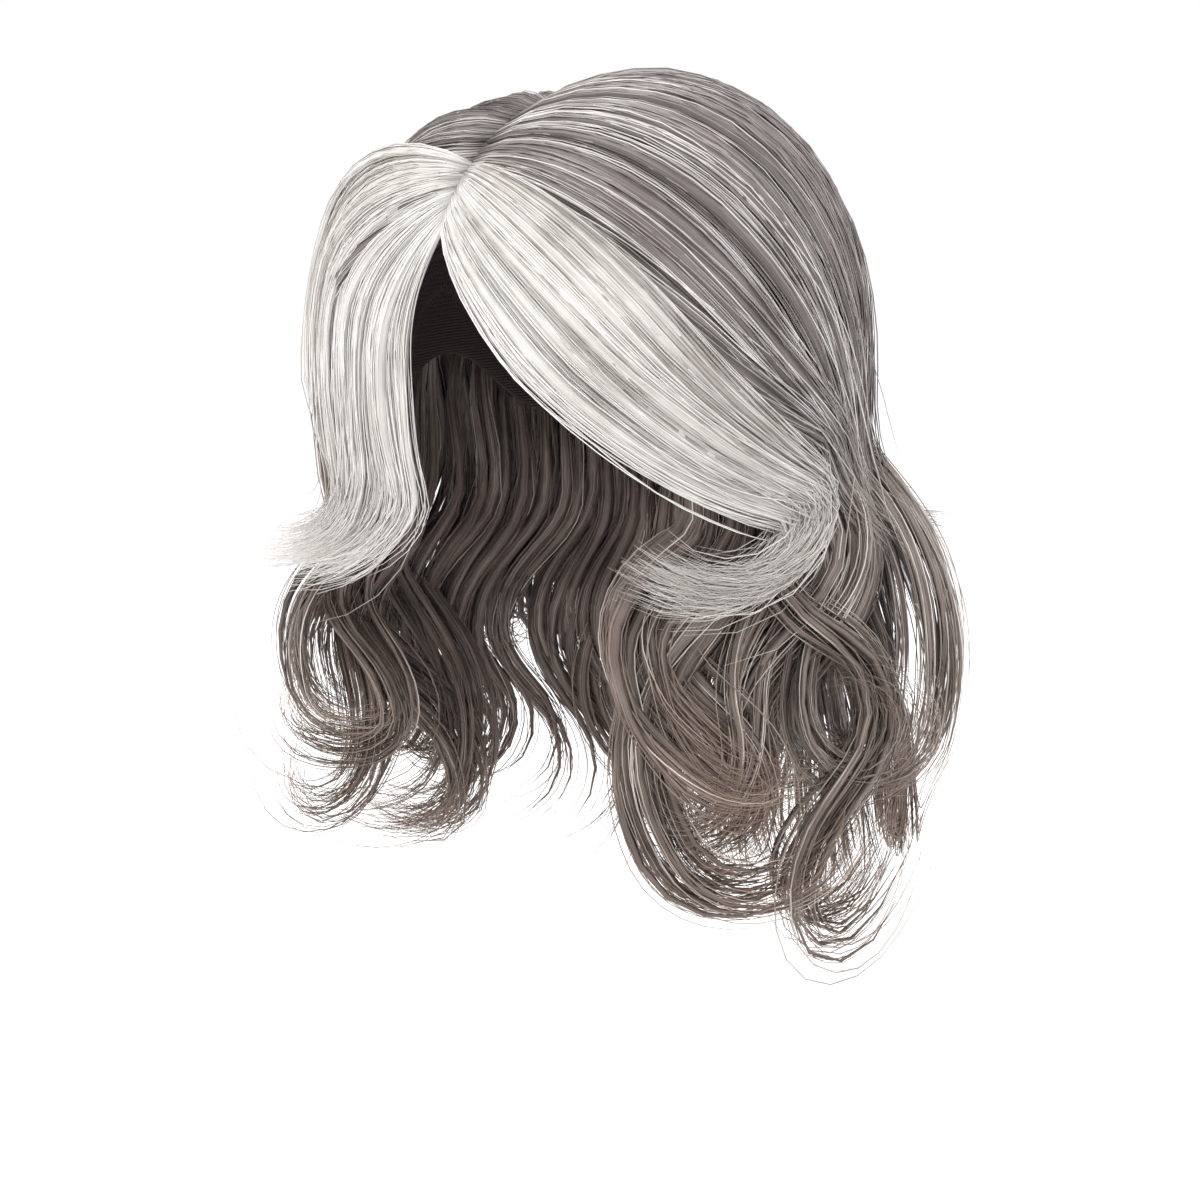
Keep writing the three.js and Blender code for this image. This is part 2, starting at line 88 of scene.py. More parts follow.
def add_node(tree, kind, inputs, output=0, **settings):
    """One output of a new node, with its settings made and its inputs set or linked."""
    node = tree.nodes.new(kind)
    for setting, value in settings.items():
        setattr(node, setting, value)
    for socket, value in inputs.items():
        if isinstance(value, bpy.types.NodeSocket):
            tree.links.new(value, node.inputs[socket])
        else:
            node.inputs[socket].default_value = value
    return node.outputs[output]


def in_range(tree, value, given, wanted, step="LINEAR"):
    """A value brought from the range given into the range wanted."""
    inputs = {0: value, 1: given[0], 2: given[1], 3: wanted[0], 4: wanted[1]}
    return add_node(tree, "ShaderNodeMapRange", inputs, interpolation_type=step)


def mixed(tree, share, low, high):
    """Two colours mixed by a share."""
    return add_node(tree, "ShaderNodeMix", {0: share, 6: low, 7: high}, 2, data_type="RGBA")


def new_material(name):
    """A material with nodes, and its node tree."""
    made = bpy.data.materials.new(name)
    made.use_nodes = True
    return made, made.node_tree


def on_shader(tree, base, roughness, relief, strength, depth):
    """Links a colour, a roughness and a relief to the shader of a material."""
    shader = tree.nodes["Principled BSDF"]
    bump = add_node(
        tree, "ShaderNodeBump", {"Strength": strength, "Distance": depth, "Height": relief})
    for socket, source in (("Base Color", base), ("Roughness", roughness), ("Normal", bump)):
        tree.links.new(source, shader.inputs[socket])
    return shader


plain_cap = bpy.data.objects["wig_cap"]
net_cap = bpy.data.objects.new("net_cap", plain_cap.data.copy())
net_cap.matrix_world = plain_cap.matrix_world
bpy.context.scene.collection.objects.link(net_cap)
bpy.ops.object.select_all(action="DESELECT")
net_cap.select_set(True)
bpy.context.view_layer.objects.active = net_cap
bpy.ops.object.mode_set(mode="EDIT")
bpy.ops.mesh.select_all(action="SELECT")
bpy.ops.mesh.remove_doubles(threshold=0.00001)
bpy.ops.mesh.tris_convert_to_quads(
    face_threshold=math.radians(40), shape_threshold=math.radians(60))
bpy.ops.mesh.normals_make_consistent(inside=False)
bpy.ops.object.mode_set(mode="OBJECT")
bpy.ops.object.modifier_add(type="SUBSURF")
net_cap.modifiers["Subdivision"].levels = 3
net_cap.modifiers["Subdivision"].render_levels = 3
bpy.ops.object.modifier_apply(modifier="Subdivision")
bpy.ops.object.shade_smooth()

# The hem is marked on the points, so that the material can tell it from the net.
cap_points = np.empty(3 * len(net_cap.data.vertices), np.float32)
net_cap.data.vertices.foreach_get("co", cap_points)
x, y, z = cap_points.reshape(-1, 3).T
rise = np.degrees(np.arcsin(np.clip(z / DOME_HEIGHT + 1, -1, 1)))
above_edge = rise - edge_rise(np.degrees(np.arctan2(x / HALF_WIDTH, -y / HALF_LENGTH)))
hem = smooth(HEM_DEGREES + 1 - above_edge, 0, 1.5).astype(np.float32)
net_cap.data.attributes.new("hem", "FLOAT", "POINT").data.foreach_set("value", hem)

net, net_tree = new_material("cap_net")
on_cap = add_node(net_tree, "ShaderNodeTexCoord", {}, "Object")
in_hem = add_node(net_tree, "ShaderNodeAttribute", {}, "Fac", attribute_name="hem")
cells = add_node(
    net_tree, "ShaderNodeTexVoronoi", {"Vector": on_cap, "Scale": 520.0, "Randomness": 0.3},
    "Distance", feature="DISTANCE_TO_EDGE")
thread = in_range(net_tree, cells, (0.02, 0.2), (1.0, 0.0), "SMOOTHSTEP")
ribs = add_node(
    net_tree, "ShaderNodeTexWave", {"Vector": on_cap, "Scale": 260.0, "Distortion": 1.5},
    "Fac", bands_direction="Z")
worn = add_node(
    net_tree, "ShaderNodeTexNoise", {"Vector": on_cap, "Scale": 60.0, "Detail": 3.0}, "Fac")
relief = add_node(
    net_tree, "ShaderNodeMix", {0: in_hem, 2: thread, 3: ribs}, data_type="FLOAT")
net_colour = mixed(net_tree, relief, colour(34, 29, 27), colour(74, 64, 60))
faded = mixed(net_tree, worn, net_colour, colour(52, 43, 39))
net_rough = in_range(net_tree, worn, (0.0, 1.0), (0.62, 0.9))
on_shader(net_tree, faded, net_rough, relief, 0.6, 0.0004)
net_cap.data.materials.clear()
net_cap.data.materials.append(net)
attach(net_cap, "root")
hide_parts("wig_cap")

# Hem stitches: two rows of short black-brown thread through the folded edge of the cap.
# They hold the fold down all round.
STITCHES, STITCH_THICK = 132, 0.0005
STITCH_REACH, STITCH_CORNERS = 0.85, 5  # half its length in degrees around, and its sides
STITCH_ROWS = (0.22, 0.8)  # shares of the hem's height
HEM_WALL = 0.0024
STITCH_SUNK = (0.0004, -0.0002, 0.0004)  # below the hem at its two ends, above it between


def unit(v):
    """v at the length 1."""
    return v / np.maximum(np.linalg.norm(v, axis=-1, keepdims=True), 1e-12)


def direction(around, rise):
    """The unit direction at an angle around from the front, and up from the head's middle."""
    a, r = np.radians(around), np.radians(rise)
    return np.stack([np.sin(a) * np.cos(r), -np.cos(a) * np.cos(r), np.sin(r)], -1)


def over_head(d, lift):
    """The point over the head in a direction, lifted off it. Its sides drop nearly straight."""
    level = np.maximum(np.hypot(d[..., 0], d[..., 1]), 0.05)
    below = d[..., 2] < 0
    wide = np.where(below, level ** -0.75, 1)
    lean = np.where(below, 0.25, 1)
    outward = unit(np.stack([
        d[..., 0] / HALF_WIDTH, d[..., 1] / HALF_LENGTH, lean * d[..., 2] / DOME_HEIGHT,
    ], -1))
    foot = np.stack([
        d[..., 0] * HALF_WIDTH * wide, d[..., 1] * HALF_LENGTH * wide,
        (d[..., 2] - 1) * DOME_HEIGHT,
    ], -1)
    return foot + outward * np.asarray(lift)[..., None]


def tubes(name, rings, tint, along):
    """One mesh of closed tubes. rings holds tube, ring, corner and coordinate."""
    n, m, k, _ = rings.shape
    first = np.arange(n)[:, None, None] * m * k
    ring = np.arange(m - 1)[None, :, None] * k
    corner = np.arange(k)[None, None, :]
    following = (corner + 1) % k
    a, b = first + ring + corner, first + ring + following
    walls = np.stack([a, b, b + k, a, b + k, a + k], -1).reshape(-1, 3)
    j = np.arange(1, k - 1)
    low = np.stack([0 * j, j + 1, j], -1)
    high = np.stack([0 * j, j, j + 1], -1) + (m - 1) * k
    ends = (first + np.concatenate([low, high])[None]).reshape(-1, 3)
    faces = np.concatenate([walls, ends])
    mesh = bpy.data.meshes.new(name)
    mesh.from_pydata(rings.reshape(-1, 3), [], faces)
    marks = np.stack([np.broadcast_to(tint, rings.shape[:3]),
                      np.broadcast_to(along, rings.shape[:3])], -1).reshape(-1, 2)
    marks = marks[faces.ravel()].astype(np.float32)
    mesh.uv_layers.new(name="lay").uv.foreach_set("vector", marks.ravel())
    mesh.shade_smooth()
    made = bpy.data.objects.new(name, mesh)
    bpy.context.scene.collection.objects.link(made)
    return made


stitch_around = np.repeat(np.arange(STITCHES) * 360 / STITCHES, 2)
up_the_hem = np.tile(STITCH_ROWS, STITCHES) * HEM_DEGREES
ends = np.stack(
    [stitch_around - STITCH_REACH, stitch_around, stitch_around + STITCH_REACH], 1)
laid = over_head(
    direction(ends, edge_rise(ends) + up_the_hem[:, None]), HEM_WALL - np.array(STITCH_SUNK))
along_stitch = unit(laid[:, 2:] - laid[:, :1])
off_head = unit(laid - (0, 0, -DOME_HEIGHT))
off_head = unit(off_head - (off_head * along_stitch).sum(-1, keepdims=True) * along_stitch)
beside = np.cross(along_stitch, off_head)
corner = (np.arange(STITCH_CORNERS) * 2 * np.pi / STITCH_CORNERS)[:, None]
stitch_rings = laid[:, :, None] + STITCH_THICK / 2 * (
    beside[:, :, None] * np.cos(corner) + off_head[:, :, None] * np.sin(corner))
stitches = tubes("hem_stitches", stitch_rings, 0.5, 0.5)

hem_thread, thread_tree = new_material("hem_thread")
on_thread = add_node(thread_tree, "ShaderNodeTexCoord", {}, "Object")
fuzz = add_node(
    thread_tree, "ShaderNodeTexNoise", {"Vector": on_thread, "Scale": 900.0, "Detail": 2.0},
    "Fac")
thread_tone = mixed(thread_tree, fuzz, colour(48, 41, 38), colour(98, 87, 81))
thread_rough = in_range(thread_tree, fuzz, (0.0, 1.0), (0.5, 0.8))
on_shader(thread_tree, thread_tone, thread_rough, fuzz, 0.4, 0.0001)
stitches.data.materials.append(hem_thread)
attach(stitches, "root")
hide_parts("wig_cap")

# Nape curls: long dark fibre sewn in rows round the back of the cap, set by heat in open
# curls. They are the wig's lowest layer.
HAIR_DEPTH, HAIR_LENGTH, CAP_WALL = 0.028, 0.270, 0.0014
ROW_ROOT, PARTING_ROOT = 0.0018, 0.0050  # how high hair starts: from a row, at the parting
PARTING_X, BESIDE_PARTING = -0.16 * HALF_WIDTH, 0.020
PARTING_FRONT, PARTING_BACK = -0.82 * HALF_LENGTH, 0.16 * HALF_LENGTH
OVER_POINTS, HANG_STEPS, LINE_POINTS = 13, 52, 96  # over the head, below it, and evened out
# How near hair may come to the middle: beside the head, how much nearer at the neck, and
# how softly it turns off, in half widths. The neck begins at NECK_FROM dome heights down.
BESIDE_HEAD, NEARER_NECK, TURN_OFF = 0.98, 0.2, 0.24
NECK_FROM, NECK_OVER = 1.9, 0.7
# The packed fibre inside a wisp: how far along it runs, and its share of the wisp.
BODY_END, BODY_RINGS, BODY_CORNERS, BODY_WIDE, BODY_DEEP = 0.9, 20, 4, 0.72, 0.66
STRAND_CORNERS = 3
WISP_STREAKS, STRAND_STREAKS = 34, 60  # how finely the streaks in their material change

# Each table further down is a list of fans, which are rows of locks side by side. The
# values in brackets run evenly from a fan's first lock to its last. Angles are in degrees.
#   side, count: 1 for the wearer's left or -1 for the right, and how many locks
#   around, up: where they are sewn on, from the front and up from the head's middle
#   along: or else how far along the parting, 0 at its front end, 1 at its back, and past it
#   leave, rise: where they leave the head and hang down, given like around and up
#   sag: how far they bow off the shortest way between the two
#   lift, hang: how far off the cap they leave it, and their length from there, as shares
#       of HAIR_DEPTH and HAIR_LENGTH
#   swing, waves, phase, plane: how wide, how many, from where and which way they wave
#   flare, drift: how far they hang outward and back
#   hook, from, turn: how far they curl, from what share of the hang, and which way
#   tone: from dark at 0 to light at 1
#   number: picks the small differences of the locks, and None means that there are none
#   loose, spread: how unlike the wisps of a lock are, and how far they fill the fan
# The differences are at most these, or loose times as much from wisp to wisp.
UNLIKE = {
    "leave": 2, "rise": 1.5, "lift": 0.03, "hang": 0.04, "swing": 6, "phase": 20,
    "plane": 8, "flare": 3, "drift": 3, "hook": 20, "from": 0.04,
}


def chance(i, k):
    """A repeatable number from -1 to 1 for value k of lock i."""
    v = np.sin(12.9898 * (i + 1) + 78.233 * (k + 1)) * 43758.5453
    return 2 * (v - np.floor(v)) - 1


def wisps_of(fan, each, rng):
    """The values of a fan's wisps, each lock being a number of them."""
    count = fan["count"]
    lock = np.repeat(np.arange(count), each)
    n = len(lock)
    member = np.tile((np.arange(each) + 0.5) / each - 0.5, count)
    member = member + rng.uniform(-0.5, 0.5, n) / each
    place = lock + fan["spread"] * member
    wisps = {"side": np.full(n, fan["side"], float), "across": (1 - fan["spread"]) * 2 * member}
    for column, values in fan.items():
        if isinstance(values, tuple):
            shares = place / max(count - 1, 1) * (len(values) - 1)
            step = np.clip(np.floor(shares), 0, max(len(values) - 2, 0)).astype(int)
            low = np.array(values)[step]
            high = np.array(values)[np.minimum(step + 1, len(values) - 1)]
            wisps[column] = low + (high - low) * (shares - step)
    for k, column in enumerate(UNLIKE):
        own = rng.uniform(-1, 1, n) * fan["loose"]
        if fan["number"] is not None:
            own = own + chance(lock + 31 * fan["number"], k)
        wisps[column] = wisps[column] + UNLIKE[column] * own
    wisps["place"] = place / max(count - 1, 1)
    return wisps


def turned(v, axis, angle):
    """v turned about an axis, by Rodrigues' formula."""
    axis, c, s = unit(axis), np.cos(angle)[:, None], np.sin(angle)[:, None]
    along = (v * axis).sum(-1, keepdims=True)
    return v * c + np.cross(axis, v) * s + axis * along * (1 - c)


def middle_lines(w):
    """The middle line of each wisp: over the head, then hanging in waves to its curl."""
    side = w["side"]
    if "along" in w:
        root_lift = CAP_WALL + PARTING_ROOT
        x = (PARTING_X - BESIDE_PARTING * HALF_WIDTH * side) / HALF_WIDTH
        y = (PARTING_FRONT + (PARTING_BACK - PARTING_FRONT) * w["along"]) / HALF_LENGTH
        first = np.stack([x, y, np.sqrt(1 - x * x - y * y)], -1)
    else:
        root_lift = CAP_WALL + ROW_ROOT
        first = direction(side * w["around"], w["up"])
    last = direction(side * w["leave"], w["rise"])
    sideways = unit(np.cross(first, last)) * side[:, None]
    angle = np.arccos((first * last).sum(-1))
    points = []
    for t in np.linspace(0, 1, OVER_POINTS):
        bow = np.sin(np.pi * t) * np.radians(w["sag"])
        near = np.sin((1 - t) * angle) / np.sin(angle)
        far = np.sin(t * angle) / np.sin(angle)
        d = unit(first * near[:, None] + last * far[:, None] - sideways * bow[:, None])
        rising = np.sin(min(1.8 * t, 1) * np.pi / 2)
        points.append(over_head(d, root_lift + (HAIR_DEPTH * w["lift"] - root_lift) * rising))
    start = unit(points[-1] - points[-2])
    step = (w["hang"] * HAIR_LENGTH / HANG_STEPS)[:, None]
    at = points[-1].copy()
    for i in range(HANG_STEPS):
        q = (i + 0.5) / HANG_STEPS
        out = unit(at * (1, 1, 0))
        back = np.stack([-out[:, 1], out[:, 0], 0 * side], -1) * side[:, None]
        flare = (np.radians(w["flare"]) * (1 - 1.4 * q))[:, None]
        down = unit(
            np.array([0, 0, -1]) * np.cos(flare) + out * np.sin(flare)
            + back * np.tan(np.radians(w["drift"]))[:, None])

        def in_plane(angle):
            v = back * np.cos(np.radians(angle))[:, None]
            v = v + out * np.sin(np.radians(angle))[:, None]
            return unit(v - (v * down).sum(-1, keepdims=True) * down)

        cycle = 2 * np.pi * w["waves"] * q + np.radians(w["phase"])
        swing = (np.radians(w["swing"]) * np.sin(cycle) * min(q / 0.25, 1))[:, None]
        heading = down * np.cos(swing) + in_plane(w["plane"]) * np.sin(swing)
        curled = np.clip((q - w["from"]) / np.maximum(1 - w["from"], 0.05), 0, 1)
        axis = np.cross(down, in_plane(w["turn"]))
        heading = turned(heading, axis, np.radians(w["hook"]) * curled)
        let_go = smooth(q, 0, 0.2)
        heading = unit(heading * let_go + start * (1 - let_go))
        # Close to the head and the neck it turns along them and not into them.
        low = np.clip((-at[:, 2] / DOME_HEIGHT - NECK_FROM) / NECK_OVER, 0, 1)
        nearest = HALF_WIDTH * (BESIDE_HEAD - NEARER_NECK * low)
        inward = np.minimum((heading * out).sum(-1), 0)
        away = np.hypot(at[:, 0], at[:, 1])
        room = smooth(away, nearest, nearest + TURN_OFF * HALF_WIDTH)
        heading = unit(heading - out * (inward * (1 - room))[:, None])
        at = at + heading * step
        points.append(at)
    return np.stack(points, 1)


def evenly(lines):
    """The lines with points at even steps, and the directions across and outward there."""
    lengths = np.linalg.norm(np.diff(lines, axis=1), axis=-1).cumsum(1)
    lengths = np.concatenate([np.zeros((len(lines), 1)), lengths], 1)
    u = np.linspace(0, 1, LINE_POINTS)
    even = np.empty((len(lines), LINE_POINTS, 3))
    for i, line in enumerate(lines):
        for k in range(3):
            even[i, :, k] = np.interp(u * lengths[i, -1], lengths[i], line[:, k])
    ahead = unit(np.gradient(even, axis=1))
    outward = np.empty_like(even)
    o = even[:, 0] - (0, 0, -DOME_HEIGHT)
    for j in range(LINE_POINTS):
        o = unit(o - (o * ahead[:, j]).sum(-1, keepdims=True) * ahead[:, j])
        outward[:, j] = o
    return even, np.cross(ahead, outward), outward


def at_shares(values, u):
    """values, with a row for each wisp, read at the shares u of its length."""
    place = np.clip(u, 0, 1) * (values.shape[1] - 1)
    i = np.minimum(place.astype(int), values.shape[1] - 2)
    f = (place - i)[..., None]
    row = np.arange(len(values)).reshape(-1, *[1] * (u.ndim - 1))
    return values[row, i] * (1 - f) + values[row, i + 1] * f


def fullness(u, tip):
    """How far hair spreads at a share of its length: narrow at the root, full, a tip."""
    root = np.maximum(np.sin(np.minimum(u / 0.4 + 0.12, 1) * np.pi / 2), 0.2)
    return root * (tip + (1 - tip) * np.clip((1 - u) / 0.34, 0, 1) ** 0.6)


def wisps_in(lines, across_share, wide, deep, wander, rng):
    """The lines of wisps that lie side by side in their locks and wander a little."""
    even, side, out = evenly(lines)
    n = len(lines)
    u = np.linspace(0, 1, LINE_POINTS)[None]
    a = across_share[:, None] * wide * fullness(u, 0.45)
    b = rng.uniform(-1, 1, (n, 1)) * deep * fullness(u, 0.6)
    for amount in (a, b):
        turns = rng.uniform(0.5, 1.4, (n, 1)) * u + rng.uniform(0, 1, (n, 1))
        amount += wander * u * np.sin(2 * np.pi * turns)
    return even + side * a[..., None] + out * b[..., None]


def wisp_bodies(name, frames, wide, deep, rng):
    """The packed fibre inside each wisp, as a flattened tapering tube."""
    n = len(frames[0])
    u = np.broadcast_to(np.linspace(0, BODY_END, BODY_RINGS)[None, :], (n, BODY_RINGS))
    angle = np.arange(BODY_CORNERS) * 2 * np.pi / BODY_CORNERS
    middle, side, out = (at_shares(v, u)[:, :, None] for v in frames)
    close = np.clip((BODY_END + 0.02 - u) / 0.45, 0.04, 1)[..., None, None]
    w = BODY_WIDE * wide * fullness(u, 0.3)[..., None, None] * close
    d = BODY_DEEP * deep * fullness(u, 0.3)[..., None, None] ** 0.7 * close
    rings = middle + side * w * np.cos(angle)[:, None] + out * d * np.sin(angle)[:, None]
    streaks = rng.uniform(0, 40, n)[:, None, None] + np.abs(angle - np.pi)[None, None] / np.pi
    return tubes(name, rings, streaks, u[..., None])


def strands(name, frames, shade, hair, rng):
    """Single strands over and in each wisp. A few, 8 in 100, stray far off it."""
    n, each, bends = len(frames[0]), hair["strands"], hair["bends"]
    share = bends[None, None]
    end = 1 - 0.24 * rng.uniform(0, 1, (n, each, 1)) ** 1.5
    u = end * share + rng.uniform(0, 0.012, (n, each, 1)) * (1 - share)
    middle, side, out = (at_shares(v, u) for v in frames)
    turn = rng.uniform(0, 2 * np.pi, (n, each, 1)) + rng.normal(0, 0.6, (n, each, 1)) * u
    reach = rng.uniform(0.3, 1.12, (n, each, 1)) ** 0.6
    w = hair["wide"] * reach * np.cos(turn) * fullness(u, 0.75)
    d = hair["deep"] * reach * np.sin(turn) * fullness(u, 0.8) ** 0.7
    loose = np.where(rng.uniform(0, 1, (n, each, 1)) < 0.08, 0.009, 0.0015)
    for amount in (w, d):
        amount += loose * rng.normal(0, 1, (n, each, 1)) * u ** 1.7
        waves = rng.uniform(1.5, 4, (n, each, 1)) * u + rng.uniform(0, 1, (n, each, 1))
        amount += 0.0007 * u * np.sin(2 * np.pi * waves)
    centre = middle + side * w[..., None] + out * d[..., None]
    own = rng.uniform(0.7, 1.25, (n, each, 1))
    tip = np.clip((1.02 - share) / 0.25, 0.1, 1) ** 0.7
    radius = hair["thick"] / 2 * own * np.clip(12 * share + 0.4, 0, 1) * tip
    angle = np.arange(STRAND_CORNERS) * 2 * np.pi / STRAND_CORNERS
    rings = centre[..., None, :] + radius[..., None, None] * (
        side[..., None, :] * np.cos(angle)[:, None] + out[..., None, :] * np.sin(angle)[:, None])
    rings = rings.reshape(n * each, len(bends), STRAND_CORNERS, 3)
    tint = np.clip(shade[:, None] + rng.normal(0, 0.2, (n, each)), 0, 1).reshape(-1, 1, 1)
    return tubes(name, rings, tint, u.reshape(n * each, -1, 1))


# The tone of hair, from the lay of it: tint or streak across, and share of the length along.
tone = bpy.data.node_groups.new("strand_tone", "ShaderNodeTree")
for in_out, kind, names in (
        ("INPUT", "NodeSocketColor", ("Shade", "Main", "Light", "Tip")),
        ("INPUT", "NodeSocketFloat", ("Streaks", "Own")),
        ("OUTPUT", "NodeSocketColor", ("Color",)),
        ("OUTPUT", "NodeSocketFloat", ("Roughness", "Height"))):
    for name in names:
        tone.interface.new_socket(name, in_out=in_out, socket_type=kind)
given = tone.nodes.new("NodeGroupInput").outputs
lay = add_node(tone, "ShaderNodeUVMap", {}, "UV", uv_map="lay")
spot = add_node(tone, "ShaderNodeTexCoord", {}, "Object")
tint = add_node(tone, "ShaderNodeSeparateXYZ", {"Vector": lay}, "X")
length = add_node(tone, "ShaderNodeSeparateXYZ", {"Vector": lay}, "Y")
across = add_node(tone, "ShaderNodeMath", {0: tint, 1: given["Streaks"]}, operation="MULTIPLY")
down_it = add_node(tone, "ShaderNodeMath", {0: length, 1: 3.0}, operation="MULTIPLY")
stretch = add_node(tone, "ShaderNodeCombineXYZ", {"X": across, "Y": down_it, "Z": 0.0})
streak = add_node(
    tone, "ShaderNodeTexNoise",
    {"Vector": stretch, "Scale": 1.0, "Detail": 3.0, "Roughness": 0.6}, noise_dimensions="2D")
patch = add_node(tone, "ShaderNodeTexNoise", {"Vector": spot, "Scale": 38.0, "Detail": 2.0})
patch = add_node(tone, "ShaderNodeMath", {0: patch, 1: 0.7, 2: -0.35}, operation="MULTIPLY_ADD")
streaky = in_range(tone, streak, (0.3, 0.7), (0.0, 1.0))
level = add_node(
    tone, "ShaderNodeMix", {0: given["Own"], 2: streaky, 3: tint}, data_type="FLOAT")
level = add_node(tone, "ShaderNodeMath", {0: level, 1: patch}, operation="ADD")
darker = in_range(tone, level, (0.0, 0.55), (0.0, 1.0), "SMOOTHSTEP")
lighter = in_range(tone, level, (0.6, 1.1), (0.0, 1.0), "SMOOTHSTEP")
at_tip = in_range(tone, length, (0.62, 1.0), (0.0, 0.55), "SMOOTHSTEP")
blend = mixed(tone, darker, given["Shade"], given["Main"])
blend = mixed(tone, lighter, blend, given["Light"])
blend = mixed(tone, at_tip, blend, given["Tip"])
rough = in_range(tone, streak, (0.3, 0.7), (0.34, 0.5))
put = tone.nodes.new("NodeGroupOutput").inputs
for socket, source in (("Color", blend), ("Roughness", rough), ("Height", streak)):
    tone.links.new(source, put[socket])


def fibre(name, shades, single):
    """The finish of one fibre, for single strands or for wisps. shades holds four colours:
    in shadow, the main one, in the light, and at the tip."""
    made, tree = new_material(name)
    shared = tree.nodes.new("ShaderNodeGroup")
    shared.node_tree = tone
    for socket, shade in zip(("Shade", "Main", "Light", "Tip"), shades):
        shared.inputs[socket].default_value = colour(*shade)
    shared.inputs["Streaks"].default_value = STRAND_STREAKS if single else WISP_STREAKS
    shared.inputs["Own"].default_value = 1 if single else 0
    out = shared.outputs
    shader = on_shader(tree, out["Color"], out["Roughness"], out["Height"], 0.35, 0.0004)
    shader.inputs["Specular IOR Level"].default_value = 0.45
    return made


def dress(node, piece, fans, hair, seed, finishes, parts=1):
    """The wisps and strands of one group of hair, in place of its solid."""
    rng = np.random.default_rng(seed)
    lines, shade = [], []
    for fan in fans:
        wisps = wisps_of(fan, hair["wisps"], rng)
        wisps["lift"] = wisps["lift"] + rng.uniform(*hair["layers"], len(wisps["side"]))
        lines.append(wisps_in(middle_lines(wisps), wisps["across"], hair["lock_wide"],
                              hair["lock_deep"], hair["wander"], rng))
        own = np.interp(wisps["place"], np.linspace(0, 1, len(fan["tone"])), fan["tone"])
        shade.append(own + rng.normal(0, 0.13, len(own)))
    frames = evenly(np.concatenate(lines))
    shade = np.concatenate(shade)
    made = [wisp_bodies(piece + "_wisps", frames, hair["wide"], hair["deep"], rng)]
    made[0].data.materials.append(finishes[0])
    for i, some in enumerate(np.array_split(np.arange(len(shade)), parts)):
        name = piece + "_strands" + ("" if parts == 1 else f"_{i + 1}")
        made.append(strands(name, [v[some] for v in frames], shade[some], hair, rng))
        made[-1].data.materials.append(finishes[1])
    for one in made:
        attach(one, "root")
        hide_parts(node)


dark_wisps = fibre(
    "dark_wisps", ((50, 41, 37), (112, 98, 91), (176, 163, 155), (106, 84, 71)),
    single=False)
dark_strands = fibre(
    "dark_strands", ((62, 52, 47), (140, 124, 116), (228, 218, 211), (150, 123, 104)),
    single=True)
# Wisps to a lock and strands to a wisp, their sizes and those of a lock in metres, how
# far layers lie apart in shares of HAIR_DEPTH, and where along a strand its bends are.
CURLS = {
    "wisps": 14, "strands": 8, "wide": 0.0046, "deep": 0.0024, "thick": 0.00055,
    "lock_wide": 0.0140, "lock_deep": 0.0060, "wander": 0.0040, "layers": (-0.06, 0.06),
    "bends": np.interp(np.linspace(0, 1, 26), [0, 0.12, 0.5, 1], [0, 0.3, 0.65, 1]),
}
NAPE_CURLS = [
    {
        "number": None, "side": 1, "count": 1, "loose": 0.5, "spread": 0, "tone": (0.5,),
        "around": (112,), "up": (-8,), "leave": (93,), "rise": (-34,), "sag": (0,),
        "lift": (0.4,), "hang": (1.08,), "swing": (53,), "waves": (1.68,),
        "phase": (-60,), "plane": (19,), "flare": (28,), "drift": (-2,),
        "hook": (202,), "from": (0.7,), "turn": (1,),
    },
    {
        "number": 0, "side": 1, "count": 3, "loose": 0.8, "spread": 0.85,
        "tone": (0.42, 0.4), "around": (132, 172), "up": (-11, -16),
        "leave": (132, 172), "rise": (-37, -40), "sag": (0, 0),
        "lift": (0.31, 0.3), "hang": (0.86, 0.84), "swing": (48, 34), "waves": (1.27, 1.2),
        "phase": (180, 160), "plane": (17, 20), "flare": (44, 26), "drift": (-3, 8),
        "hook": (-170, -120), "from": (0.61, 0.6), "turn": (13, 20),
    },
    {
        "number": 3, "side": -1, "count": 3, "loose": 0.8, "spread": 0.85,
        "tone": (0.42, 0.4), "around": (112, 174), "up": (-8, -16),
        "leave": (112, 174), "rise": (-36, -40), "sag": (0, 0),
        "lift": (0.32, 0.3), "hang": (0.84, 0.84), "swing": (50, 26), "waves": (1.3, 1.2),
        "phase": (190, 160), "plane": (15, 20), "flare": (32, 26), "drift": (-4, 3),
        "hook": (-170, 110), "from": (0.62, 0.6), "turn": (10, 20),
    },
]
dress("nape_curls", "nape", NAPE_CURLS, CURLS, 1,
      (dark_wisps, dark_strands))

# Side curls: dark fibre beside the neck, sewn in short rows above and behind each ear and
# set by heat. It swings forward to the cheek and back, and turns under at the end.
SIDE_LEFT = [
    {
        "number": None, "side": 1, "count": 4, "loose": 0.5, "spread": 0,
        "tone": (0.62, 0.5, 0.5, 0.55), "around": (66, 70, 78, 90), "up": (4, 4, 4, 4),
        "leave": (77, 66, 76, 87), "rise": (-27, -29, -23, -19), "sag": (1, 3.4, 3.6, 4),
        "lift": (0.36, 0.47, 0.41, 0.3), "hang": (0.77, 0.66, 1, 0.79),
        "swing": (62, 38, 42, 32), "waves": (1.19, 1.62, 1.01, 1.43),
        "phase": (183, 127, 183, 82), "plane": (16, 10, 32, 45),
        "flare": (3, 11, 23, 30), "drift": (-17, -22, -10, -12),
        "hook": (-66, 198, 185, -136), "from": (0.79, 0.57, 0.66, 0.59),
        "turn": (-47, 32, 4, 22),
    },
]
